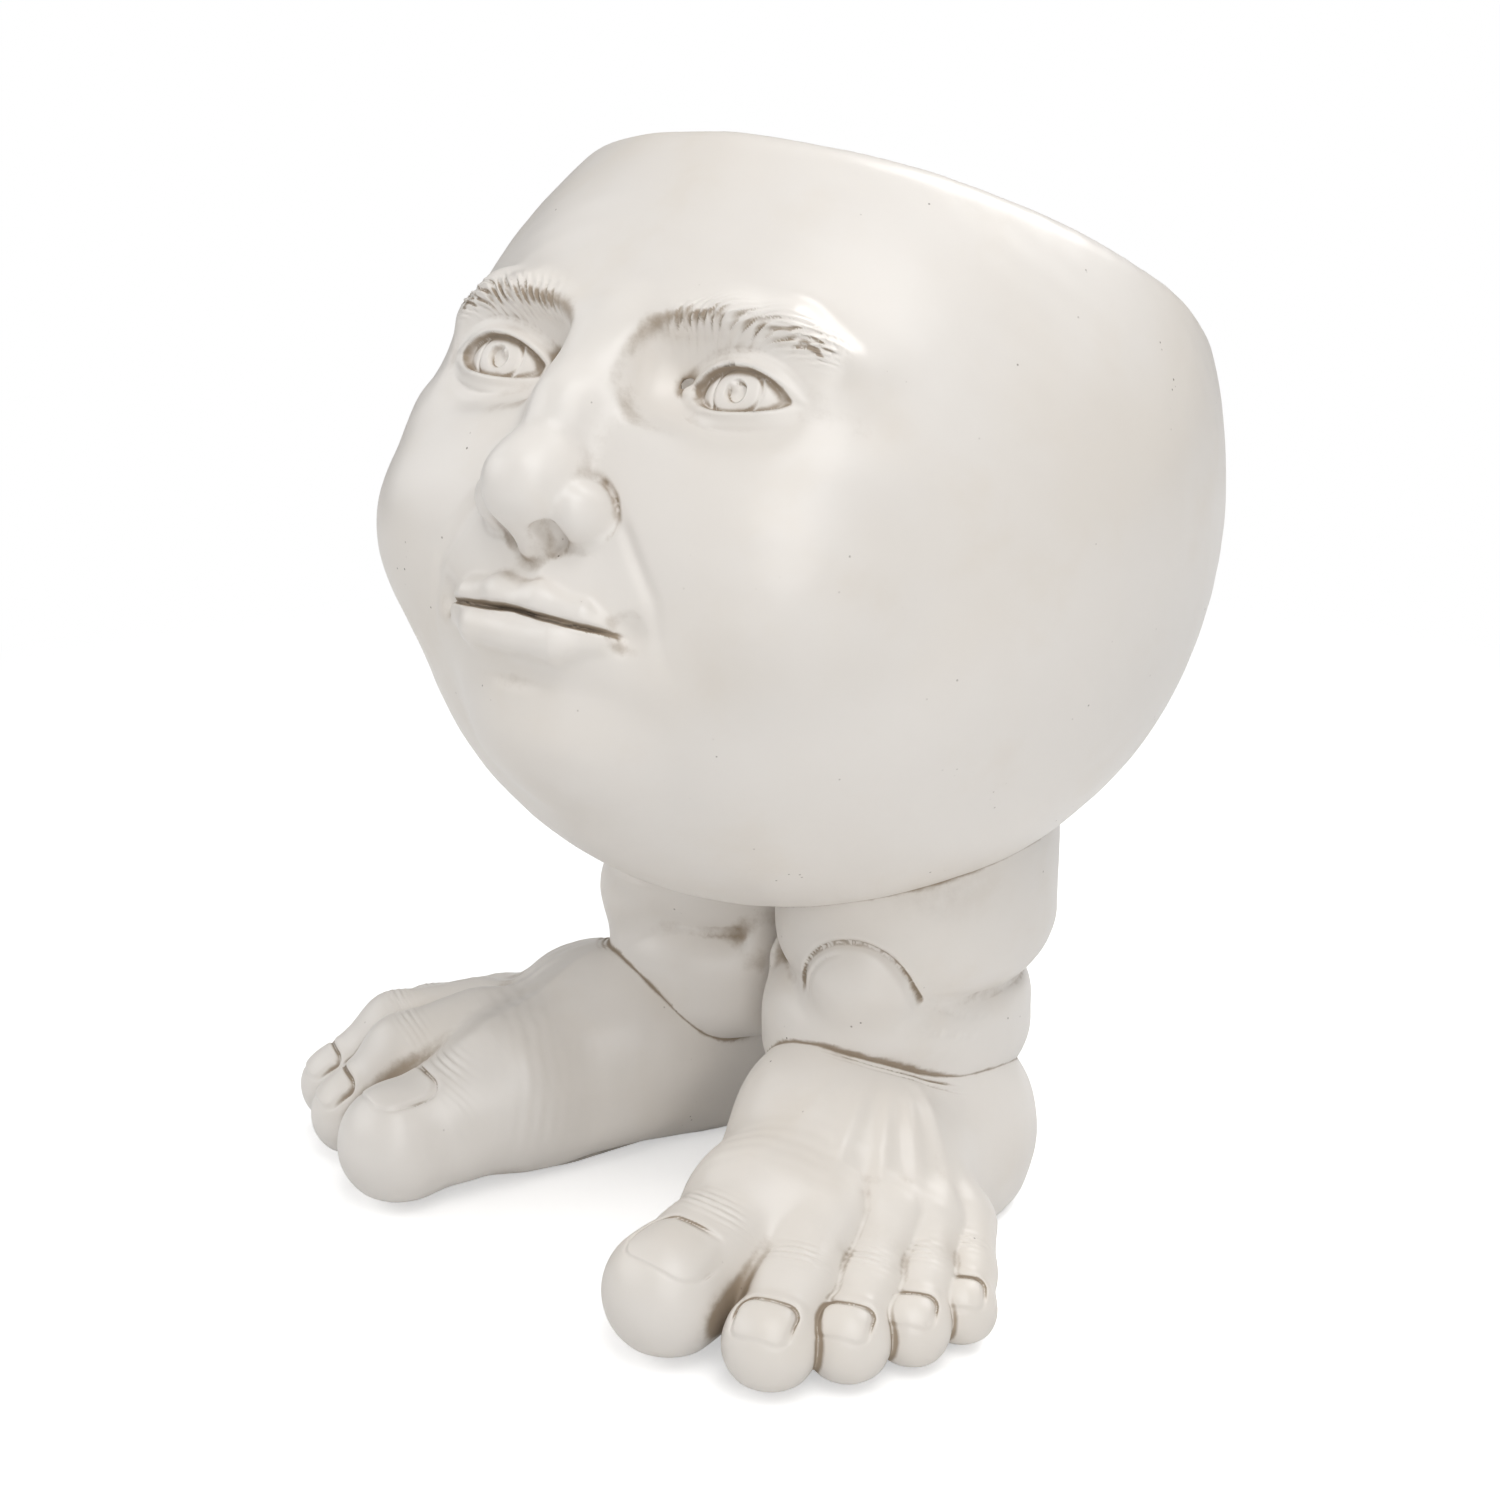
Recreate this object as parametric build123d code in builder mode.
from build123d import *
from math import cos, radians, sin, sqrt
import os

os.makedirs("parts", exist_ok=True)

# A cast planter: a tilted hollow head on two legs with bare feet, and a stopper in its drain.
# Millimetres. The ground is z = 0, the face looks along -Y, and +X is the figure's left.

# Head: an egg about a tilted axis, cut off by the rim and turned a little to its left
head_radius = 137
head_tilt = 29.5
head_heading = 10
head_height = 247
head_side = 5
head_setback = 11
rim_rise = 93
rim_inset = 27
lip_round = 7
lip_inner_round = 4

# Bowl: an egg inside the head, with a flat floor that a pot can stand on
side_wall = 11
lip_width = 13
floor_thickness = 37

# Face: a ball at the head's front, thirds from the rim to the chin, and five eye widths across
face_advance = 30
face_level = -26
face_inset = 22
chin_drop = 128
face_width = 232
nose_projection = 23
nose_bridge_radius = 8
nose_tip_radius = 14
nostril_radius = 10
nostril_side = 14
brow_radius = 9
brow_projection = 4
brow_half_length = 24
brow_arch = 2
socket_depth = 8
socket_half_length = 11
eye_inset = 4.5
lid_thickness = 2.6
pupil_depth = 2
muzzle_radius = 29
muzzle_half_length = 13
muzzle_projection = 7
lip_radius = 7
lip_projection = 3
chin_radius = 24
chin_half_length = 12
chin_projection = 11
cheek_radius = 44
cheek_projection = 5
bone_radius = 18
bone_half_length = 14
bone_projection = 4

# Legs: two fat rolls each, flattened where the legs meet
leg_side = 41
leg_setback = 16
leg_half_width = 44
leg_half_depth = 53
thigh_side = 43
thigh_setback = 23
thigh_half_width = 46
thigh_half_depth = 55
ankle_height = 48
knee_height = 84
thigh_height = 75
roll_overlap = 7
roll_round = 15
kneecap_radius = 13
kneecap_half_length = 19
kneecap_projection = 2.5
kneecap_rise = 17

# Feet: toes in a fan about an axis that turns outward
heel_side = 57
heel_setback = 17
heel_radius = 38
heel_lift = 30
foot_splay = 22
ball_turn = 24
toe_reach = 144
ball_half_width = 50
instep_height = 70
medial_side = 25
medial_rise = 42
medial_radius = 30
medial_half_length = 36
big_toe_radius = 21
toe_arch = 27
nail_thickness = 1.2
nail_lean = 38
foot_clearance = 1

# Spigots, rods and glue gaps
glue_gap = 0.25
joint_side = 44
joint_setback = 10
neck_spigot_radius = 17
neck_spigot_cover = 13
ankle_spigot_radius = 20
ankle_spigot_depth = 11
rod_radius = 4
rod_cover = 6
rod_bottom = 25

# Sole: a closing plate in each hollow foot, with rubber pads
sole_thickness = 4
sole_heel_radius = 22
sole_ball_radius = 34
sole_ball_reach = 76
sole_ball_inset = 5
hollow_margin = 5
hollow_top = 22
pad_radius = 9
pad_thickness = 2
pad_gap = 0.1
pad_spread = 18

# Drain and its stopper
drain_radius = 8
drain_setback = 16
recess_radius = 18
recess_depth = 17
stopper_gap = 0.08
stopper_depth = 11
stopper_chamfer = 1.5
flange_radius = 13
flange_thickness = 3
seat_gap = 0.2
tab_height = 13
tab_width = 12
tab_thickness = 4
tab_hole_radius = 3

# The head's own frame: x to the figure's left, y up the head, z out of the face
heading = radians(head_heading)
tilt = radians(head_tilt)
head_centre = Vector(head_side, head_setback, head_height)
head_left = Vector(cos(heading), sin(heading), 0)
head_front = Vector(sin(heading) * cos(tilt), -cos(heading) * cos(tilt), sin(tilt))
head_up = head_front.cross(head_left)
face_plane = Plane(origin=head_centre, x_dir=head_left, z_dir=head_front)
middle_plane = Plane(origin=head_centre, x_dir=head_up, z_dir=head_left)
head_axis = Axis(head_centre, head_up)
rim_radius = head_radius - rim_inset
face_radius = head_radius - face_inset
floor_height = head_height - head_radius + floor_thickness


def on_face(x, y, z):
    """A plane at a place in the head's own frame, turned as the face is."""
    return Plane(origin=face_plane.from_local_coords((x, y, z)), x_dir=head_left, z_dir=head_front)


def egg_radius(y):
    """The head's radius at a height above or below its middle."""
    if y < 0:
        return sqrt(head_radius**2 - y**2)
    arc = (rim_rise**2 + rim_inset**2) / (2 * rim_inset)
    return head_radius - arc + sqrt(arc**2 - y**2)


def egg_front(x, y):
    """How far the face stands out in front of the head's centre at (x, y)."""
    face = face_radius**2 - x**2 - (y - face_level) ** 2
    return max(sqrt(egg_radius(y) ** 2 - x**2), face_advance + sqrt(face))


def egg(radius, top_radius):
    """An egg about the head's axis, cut off flat at the rim."""
    with BuildPart(mode=Mode.PRIVATE) as form:
        with BuildSketch(face_plane):
            with BuildLine():
                CenterArc((0, 0), radius, start_angle=-90, arc_size=90)
                TangentArc((radius, 0), (top_radius, rim_rise), tangent=(0, 1))
                Polyline((top_radius, rim_rise), (0, rim_rise), (0, -radius))
            make_face()
        revolve(axis=head_axis)
    return form.part


def ovoid(plane, half_length, half_width):
    """A rugby-ball form that is long along the x axis of a plane."""
    with BuildPart(mode=Mode.PRIVATE) as form:
        with BuildSketch(plane):
            with BuildLine():
                EllipticalCenterArc((0, 0), half_length, half_width, start_angle=0, arc_size=180)
                Line((-half_length, 0), (half_length, 0))
            make_face()
        revolve(axis=Axis(plane.origin, plane.x_dir))
    return form.part


def limb(start, end, start_radius, end_radius):
    """A tapered limb with round ends between two points."""
    along = end - start
    plane = Plane(origin=start, x_dir=along, z_dir=along.cross(Vector(0, 0, 1)))
    with BuildPart(mode=Mode.PRIVATE) as form:
        with BuildSketch(plane):
            Circle(start_radius)
            with Locations((along.length, 0)):
                Circle(end_radius)
            make_hull()
            split(bisect_by=Plane.XZ, keep=Keep.TOP)
        revolve(axis=Axis(plane.origin, plane.x_dir))
    return form.part


# Places on the face
third = (rim_rise + chin_drop) / 3
brow_level = rim_rise - third
nose_level = brow_level - third
mouth_level = nose_level - third / 3
chin_level = chin_radius - chin_drop
eye_level = brow_level - third * 0.27
eye_width = face_width / 5
eye_radius = eye_width * 0.46
mouth_half_width = eye_width * 0.74

# The space inside the bowl
with BuildPart() as bowl_space:
    add(egg(head_radius - side_wall, rim_radius - lip_width))
    split(bisect_by=Plane.XY.offset(floor_height), keep=Keep.TOP)

# One eye: a ball behind two lids, with a drilled pupil
eye_front = egg_front(eye_width, eye_level) - eye_inset
eye_place = on_face(eye_width, eye_level, eye_front - eye_radius)
with BuildPart() as left_eye:
    with Locations(eye_place):
        Sphere(eye_radius + lid_thickness)
    with BuildSketch(eye_place):
        with BuildLine():
            inner_corner = (-eye_width * 0.44, 0)
            outer_corner = (eye_width * 0.44, 0)
            ThreePointArc(inner_corner, (0, eye_width * 0.24), outer_corner)
            ThreePointArc(outer_corner, (0, -eye_width * 0.13), inner_corner)
        make_face()
    extrude(amount=eye_width, mode=Mode.SUBTRACT)
    with Locations(eye_place):
        Sphere(eye_radius)
    with BuildSketch(on_face(eye_width, eye_level, eye_front - pupil_depth)):
        Circle(eye_radius * 0.2)
    extrude(amount=pupil_depth + eye_inset, mode=Mode.SUBTRACT)

def across(level, front, half_length, radius):
    """A bar with round ends across the middle of the face, in from a front by its radius."""
    ends = [face_plane.from_local_coords((side * half_length, level, front - radius)) for side in (-1, 1)]
    return limb(*ends, radius, radius)


def ridge(side, x, y, half_length, arch, radius, projection):
    """A bar with round ends that stands a little out of one side of the face."""
    ends = []
    for end in (-1, 1):
        end_x = x + end * half_length
        end_y = y + end * arch
        end_z = egg_front(end_x, end_y) + projection - radius
        ends.append(face_plane.from_local_coords((side * end_x, end_y, end_z)))
    return limb(*ends, radius, radius)


# Head, with the tops of the spigots and rods under the bowl's floor
neck_spigot_top = floor_height - neck_spigot_cover
rod_top = floor_height - rod_cover
cheek_side = eye_width * 1.15
cheek_level = nose_level + third * 0.12
cheek_front = egg_front(cheek_side, cheek_level) + cheek_projection
muzzle_front = egg_front(0, mouth_level) + muzzle_projection
lip_front = muzzle_front + lip_projection
chin_front = egg_front(0, chin_level) + chin_projection
brow_side = eye_width * 1.02
bone_side = eye_width * 1.5
socket_radius = eye_width * 0.34
socket_floor = eye_front + eye_inset - socket_depth
bridge_level = brow_level - third * 0.12
bridge_front = egg_front(0, bridge_level) + nose_bridge_radius * 0.8
tip_level = nose_level + nose_tip_radius * 0.8
tip_front = egg_front(0, tip_level) + nose_projection
with BuildPart() as head_shell:
    add(egg(head_radius, rim_radius))
    with Locations(on_face(0, face_level, face_advance)):
        Sphere(face_radius)
    # Sunk sockets and the eyes in them, under brows
    for side in (-1, 1):
        socket_ends = []
        for end in (-1, 1):
            socket_x = side * eye_width + end * socket_half_length
            socket_z = socket_floor + socket_radius
            socket_ends.append(face_plane.from_local_coords((socket_x, eye_level, socket_z)))
        add(limb(*socket_ends, socket_radius, socket_radius), mode=Mode.SUBTRACT)
    add(left_eye.part)
    mirror(left_eye.part, about=middle_plane)
    for side in (-1, 1):
        add(ridge(side, brow_side, brow_level, brow_half_length, brow_arch, brow_radius, brow_projection))
    # Cheekbones, cheeks, muzzle and chin
    bone_level = eye_level - socket_radius
    for side in (-1, 1):
        add(ridge(side, bone_side, bone_level, bone_half_length, 0, bone_radius, bone_projection))
    cheek_z = cheek_front - cheek_radius
    with Locations(*(on_face(side * cheek_side, cheek_level, cheek_z) for side in (-1, 1))):
        Sphere(cheek_radius)
    add(across(mouth_level, muzzle_front, muzzle_half_length, muzzle_radius))
    add(across(chin_level, chin_front, chin_half_length, chin_radius))
    # Nose and lips
    bridge = face_plane.from_local_coords((0, bridge_level, bridge_front - nose_bridge_radius))
    tip = face_plane.from_local_coords((0, tip_level, tip_front - nose_tip_radius))
    add(limb(bridge, tip, nose_bridge_radius, nose_tip_radius))
    wing_level = nose_level + nostril_radius * 0.8
    wing_front = tip_front - nose_tip_radius - nostril_radius
    with Locations(*(on_face(side * nostril_side, wing_level, wing_front) for side in (-1, 1))):
        Sphere(nostril_radius)
    for side, length_share in ((1, 0.72), (-1, 0.6)):
        lip_level = mouth_level + side * lip_radius * 0.8
        add(across(lip_level, lip_front, mouth_half_width * length_share, lip_radius))
    # The bowl and its rounded lip
    add(bowl_space.part, mode=Mode.SUBTRACT)
    fillet(edges().group_by(head_axis)[-1].sort_by(SortBy.LENGTH)[-1], lip_round)
    fillet(edges().group_by(head_axis)[-1].sort_by(SortBy.LENGTH)[0], lip_inner_round)
    # Drain in a recess, and sockets for the legs and their rods
    for radius, depth in ((recess_radius, recess_depth), (drain_radius, floor_height - ankle_height)):
        with BuildSketch(Plane.XY.offset(floor_height)):
            with Locations((0, drain_setback)):
                Circle(radius)
        extrude(amount=-depth, mode=Mode.SUBTRACT)
    for radius, top in ((neck_spigot_radius, neck_spigot_top), (rod_radius, rod_top)):
        with BuildSketch(Plane.XY.offset(top + glue_gap)):
            with Locations((-joint_side, joint_setback), (joint_side, joint_setback)):
                Circle(radius + glue_gap)
        extrude(amount=ankle_height - top, mode=Mode.SUBTRACT)
head_shell.part.label = "head_shell"


def roll(bottom, height, centre, half_width, half_depth, grow):
    """One fat roll of the left leg, an oval cushion, grown all round by a clearance."""
    with BuildPart(mode=Mode.PRIVATE) as form:
        with BuildSketch(Plane.XY.offset(bottom - grow)):
            with Locations(centre):
                Ellipse(half_width + grow, half_depth + grow)
        extrude(amount=height + 2 * grow)
        fillet(form.edges().filter_by(GeomType.ELLIPSE), roll_round + grow)
    return form.part


def calf(grow):
    """The lower roll, which sits in a seat in the foot."""
    height = knee_height + roll_overlap - ankle_height
    return roll(ankle_height, height, (leg_side, leg_setback), leg_half_width, leg_half_depth, grow)


def foot_turned(turn):
    """The forward and outward directions of the left foot, turned outward by an angle."""
    angle = radians(foot_splay + turn)
    return Vector(sin(angle), -cos(angle), 0), Vector(cos(angle), sin(angle), 0)


# Legs, with the kneecap over the foot's own direction
foot_forward, foot_outward = foot_turned(0)
head_above = egg(head_radius + glue_gap, rim_radius + glue_gap)
knee_reach = thigh_half_depth + kneecap_projection - kneecap_radius
knee_point = Vector(thigh_side, thigh_setback, knee_height + kneecap_rise) + foot_forward * knee_reach
with BuildPart() as left_leg:
    add(calf(0))
    thigh_place = (thigh_side, thigh_setback)
    add(roll(knee_height - roll_overlap, thigh_height, thigh_place, thigh_half_width, thigh_half_depth, 0))
    add(ovoid(Plane(origin=knee_point, x_dir=foot_outward), kneecap_half_length, kneecap_radius))
    # Flat where the legs meet, and cut to the head's underside
    split(bisect_by=Plane.YZ.offset(glue_gap / 2), keep=Keep.TOP)
    add(head_above, mode=Mode.SUBTRACT)
    # A spigot at each end, and the bore for the rod
    spigot_bottom = ankle_height - ankle_spigot_depth
    for radius, bottom, top in (
        (ankle_spigot_radius, spigot_bottom, knee_height),
        (neck_spigot_radius, knee_height, neck_spigot_top),
    ):
        with BuildSketch(Plane.XY.offset(bottom)):
            with Locations((joint_side, joint_setback)):
                Circle(radius)
        extrude(amount=top - bottom)
    with BuildSketch(Plane.XY.offset(spigot_bottom)):
        with Locations((joint_side, joint_setback)):
            Circle(rod_radius + glue_gap)
    extrude(amount=neck_spigot_top - spigot_bottom, mode=Mode.SUBTRACT)
left_leg.part.label = "left_leg"

with BuildPart() as right_leg:
    mirror(left_leg.part, about=Plane.YZ)
right_leg.part.label = "right_leg"


heel_point = Vector(heel_side, heel_setback, 0)


def foot_point(reach, side, height):
    """A point of the left foot from the heel: forward along it, outward across it, and up."""
    return heel_point + foot_forward * reach + foot_outward * side + Vector(0, 0, height)


def sole_outline(height, margin):
    """The left sole's outline, a heel circle and a ball circle in one hull."""
    with BuildSketch(Plane.XY.offset(height), mode=Mode.PRIVATE) as outline:
        ends = ((0, 0, sole_heel_radius), (sole_ball_reach, -sole_ball_inset, sole_ball_radius))
        for reach, side, radius in ends:
            place = foot_point(reach, side, 0)
            with Locations((place.X, place.Y)):
                Circle(radius - margin)
        make_hull()
    return outline.sketch


def toenail(tip, radius):
    """A thin curved plate that leans with the top of a toe."""
    lean = radians(nail_lean)
    nail_up = foot_forward * sin(lean) + Vector(0, 0, cos(lean))
    with BuildPart(mode=Mode.PRIVATE) as form:
        with BuildSketch(Plane(origin=tip, x_dir=foot_outward, z_dir=nail_up)):
            RectangleRounded(radius * 1.3, radius * 0.9, radius * 0.4)
        extrude(amount=radius * 2)
        with Locations(tip):
            Sphere(radius + nail_thickness, mode=Mode.INTERSECT)
    return form.part


# Sections of the foot, as shares of its reach, ball half-width and instep height, and of the ball's turn
section_shares = (
    (-0.20, 0.00, 0.40, 0.54, 0.0),
    (-0.05, 0.00, 0.62, 0.75, 0.0),
    (0.14, -0.12, 0.74, 0.96, 0.0),
    (0.36, -0.18, 0.88, 1.00, 0.2),
    (0.54, -0.10, 0.94, 0.89, 0.6),
    (0.68, -0.08, 0.91, 0.79, 1.0),
)
middle_height_share = 0.3

# Toes from the big one outward, as shares: tip reach, side, radius and length, then the rises of tip,
# knuckle and root
left_toe_shares = (
    (0.952, -0.80, 1.00, 0.31, 0.00, 0.07, 0.30),
    (1.000, 0.00, 0.73, 0.35, 0.00, 0.22, 0.56),
    (0.902, 0.42, 0.64, 0.32, 0.00, 0.22, 0.59),
    (0.782, 0.72, 0.59, 0.26, 0.00, 0.22, 0.56),
    (0.646, 0.96, 0.52, 0.22, 0.00, 0.19, 0.48),
)
right_toe_shares = (
    (0.952, -0.80, 1.04, 0.31, 0.00, 0.15, 0.52),
    (1.000, 0.00, 0.73, 0.35, 0.04, 0.81, 1.00),
    (1.000, 0.42, 0.67, 0.38, 0.19, 0.93, 0.96),
    (0.861, 0.68, 0.62, 0.32, 0.07, 0.81, 0.85),
    (0.695, 0.92, 0.55, 0.26, 0.00, 0.63, 0.70),
)
toe_spread_share = 0.84
knuckle_share = 0.42


def foot(toe_shares):
    """A left foot with its own set of toes."""
    with BuildPart(mode=Mode.PRIVATE) as form:
        for reach_share, side_share, width_share, height_share, turn_share in section_shares:
            height = instep_height * height_share
            middle_height = height * middle_height_share
            place = foot_point(toe_reach * reach_share, ball_half_width * side_share, middle_height)
            forward, outward = foot_turned(ball_turn * turn_share)
            with BuildSketch(Plane(origin=place, x_dir=outward, z_dir=forward)):
                Ellipse(ball_half_width * width_share, height - middle_height)
        loft()
        with Locations(foot_point(0, 0, heel_lift)):
            Sphere(heel_radius)
        medial = foot_point(medial_half_length, -medial_side, medial_rise)
        add(ovoid(Plane(origin=medial, x_dir=foot_forward), medial_half_length, medial_radius))
        for reach_share, side_share, radius_share, length_share, *rise_shares in toe_shares:
            radius = big_toe_radius * radius_share
            reach = toe_reach * reach_share
            side = ball_half_width * side_share
            length = toe_reach * length_share
            root_side = side * toe_spread_share
            knuckle_side = side + (root_side - side) * knuckle_share
            tip_height, knuckle_height, root_height = (radius + toe_arch * share for share in rise_shares)
            tip = foot_point(reach, side, tip_height)
            knuckle = foot_point(reach - length * knuckle_share, knuckle_side, knuckle_height)
            root = foot_point(reach - length, root_side, root_height)
            add(limb(knuckle, tip, radius, radius))
            add(limb(root, knuckle, radius * 1.1, radius))
            add(toenail(tip, radius))
        # The seat for the ankle, its spigot and the rod, and the hollow under the instep
        add(calf(glue_gap), mode=Mode.SUBTRACT)
        for radius, bottom in ((ankle_spigot_radius, spigot_bottom), (rod_radius, rod_bottom)):
            with BuildSketch(Plane.XY.offset(bottom - glue_gap)):
                with Locations((joint_side, joint_setback)):
                    Circle(radius + glue_gap)
            extrude(amount=instep_height, mode=Mode.SUBTRACT)
        add(sole_outline(foot_clearance, -glue_gap))
        extrude(amount=sole_thickness + glue_gap, mode=Mode.SUBTRACT)
        add(sole_outline(foot_clearance, hollow_margin))
        extrude(amount=hollow_top - foot_clearance, mode=Mode.SUBTRACT)
        split(bisect_by=Plane.XY.offset(foot_clearance), keep=Keep.TOP)
    return form.part


# Feet, which differ a little in their toes
with BuildPart() as left_foot:
    add(foot(left_toe_shares))
left_foot.part.label = "left_foot"

with BuildPart() as right_foot:
    mirror(foot(right_toe_shares), about=Plane.YZ)
right_foot.part.label = "right_foot"

# Rods, from the solid instep through the leg into the head's floor
with BuildPart() as left_leg_rod:
    with BuildSketch(Plane.XY.offset(rod_bottom)):
        with Locations((joint_side, joint_setback)):
            Circle(rod_radius)
    extrude(amount=rod_top - rod_bottom)
left_leg_rod.part.label = "left_leg_rod"

with BuildPart() as right_leg_rod:
    mirror(left_leg_rod.part, about=Plane.YZ)
right_leg_rod.part.label = "right_leg_rod"

# Sole plates with shallow seats for the pads, and three pads under each
pad_places = [foot_point(0, 0, 0)]
pad_places += [foot_point(sole_ball_reach, side * pad_spread - sole_ball_inset, 0) for side in (-1, 1)]
pad_spots = [(place.X, place.Y) for place in pad_places]
with BuildPart() as left_sole_plate:
    add(sole_outline(foot_clearance, 0))
    extrude(amount=sole_thickness)
    with BuildSketch():
        with Locations(*pad_spots):
            Circle(pad_radius + pad_gap)
    extrude(amount=pad_thickness, mode=Mode.SUBTRACT)
left_sole_plate.part.label = "left_sole_plate"

with BuildPart() as right_sole_plate:
    mirror(left_sole_plate.part, about=Plane.YZ)
right_sole_plate.part.label = "right_sole_plate"

with BuildPart() as left_sole_pads:
    with BuildSketch():
        with Locations(*pad_spots):
            Circle(pad_radius)
    extrude(amount=pad_thickness)
left_sole_pads.part.label = "left_sole_pads"

with BuildPart() as right_sole_pads:
    mirror(left_sole_pads.part, about=Plane.YZ)
right_sole_pads.part.label = "right_sole_pads"

# Stopper: a plug, a flange that rests in the drain's recess, and a tab to pull it by
flange_bottom = floor_height - recess_depth + seat_gap
tab_round = tab_width / 2
with BuildPart() as drain_stopper:
    with BuildSketch(Plane.XY.offset(flange_bottom - stopper_depth)):
        with Locations((0, drain_setback)):
            Circle(drain_radius - stopper_gap)
    extrude(amount=stopper_depth)
    chamfer(faces().sort_by(Axis.Z)[0].edges(), stopper_chamfer)
    with BuildSketch(Plane.XY.offset(flange_bottom)):
        with Locations((0, drain_setback)):
            Circle(flange_radius)
    extrude(amount=flange_thickness)
    flange_top = flange_bottom + flange_thickness
    with BuildSketch(Plane(origin=(0, drain_setback, flange_top), x_dir=(1, 0, 0), z_dir=(0, -1, 0))):
        with Locations((0, tab_height - tab_round)):
            Circle(tab_round)
        with Locations((0, 0)):
            Rectangle(tab_width, tab_height - tab_round, align=(Align.CENTER, Align.MIN))
        with Locations((0, tab_height - tab_round)):
            Circle(tab_hole_radius, mode=Mode.SUBTRACT)
    extrude(amount=tab_thickness / 2, both=True)
drain_stopper.part.label = "drain_stopper"

pieces = (head_shell, left_leg, right_leg, left_foot, right_foot, left_leg_rod, right_leg_rod)
pieces += (left_sole_plate, right_sole_plate, left_sole_pads, right_sole_pads, drain_stopper)
for piece in pieces:
    export_step(piece.part, f"parts/{piece.part.label}.step")
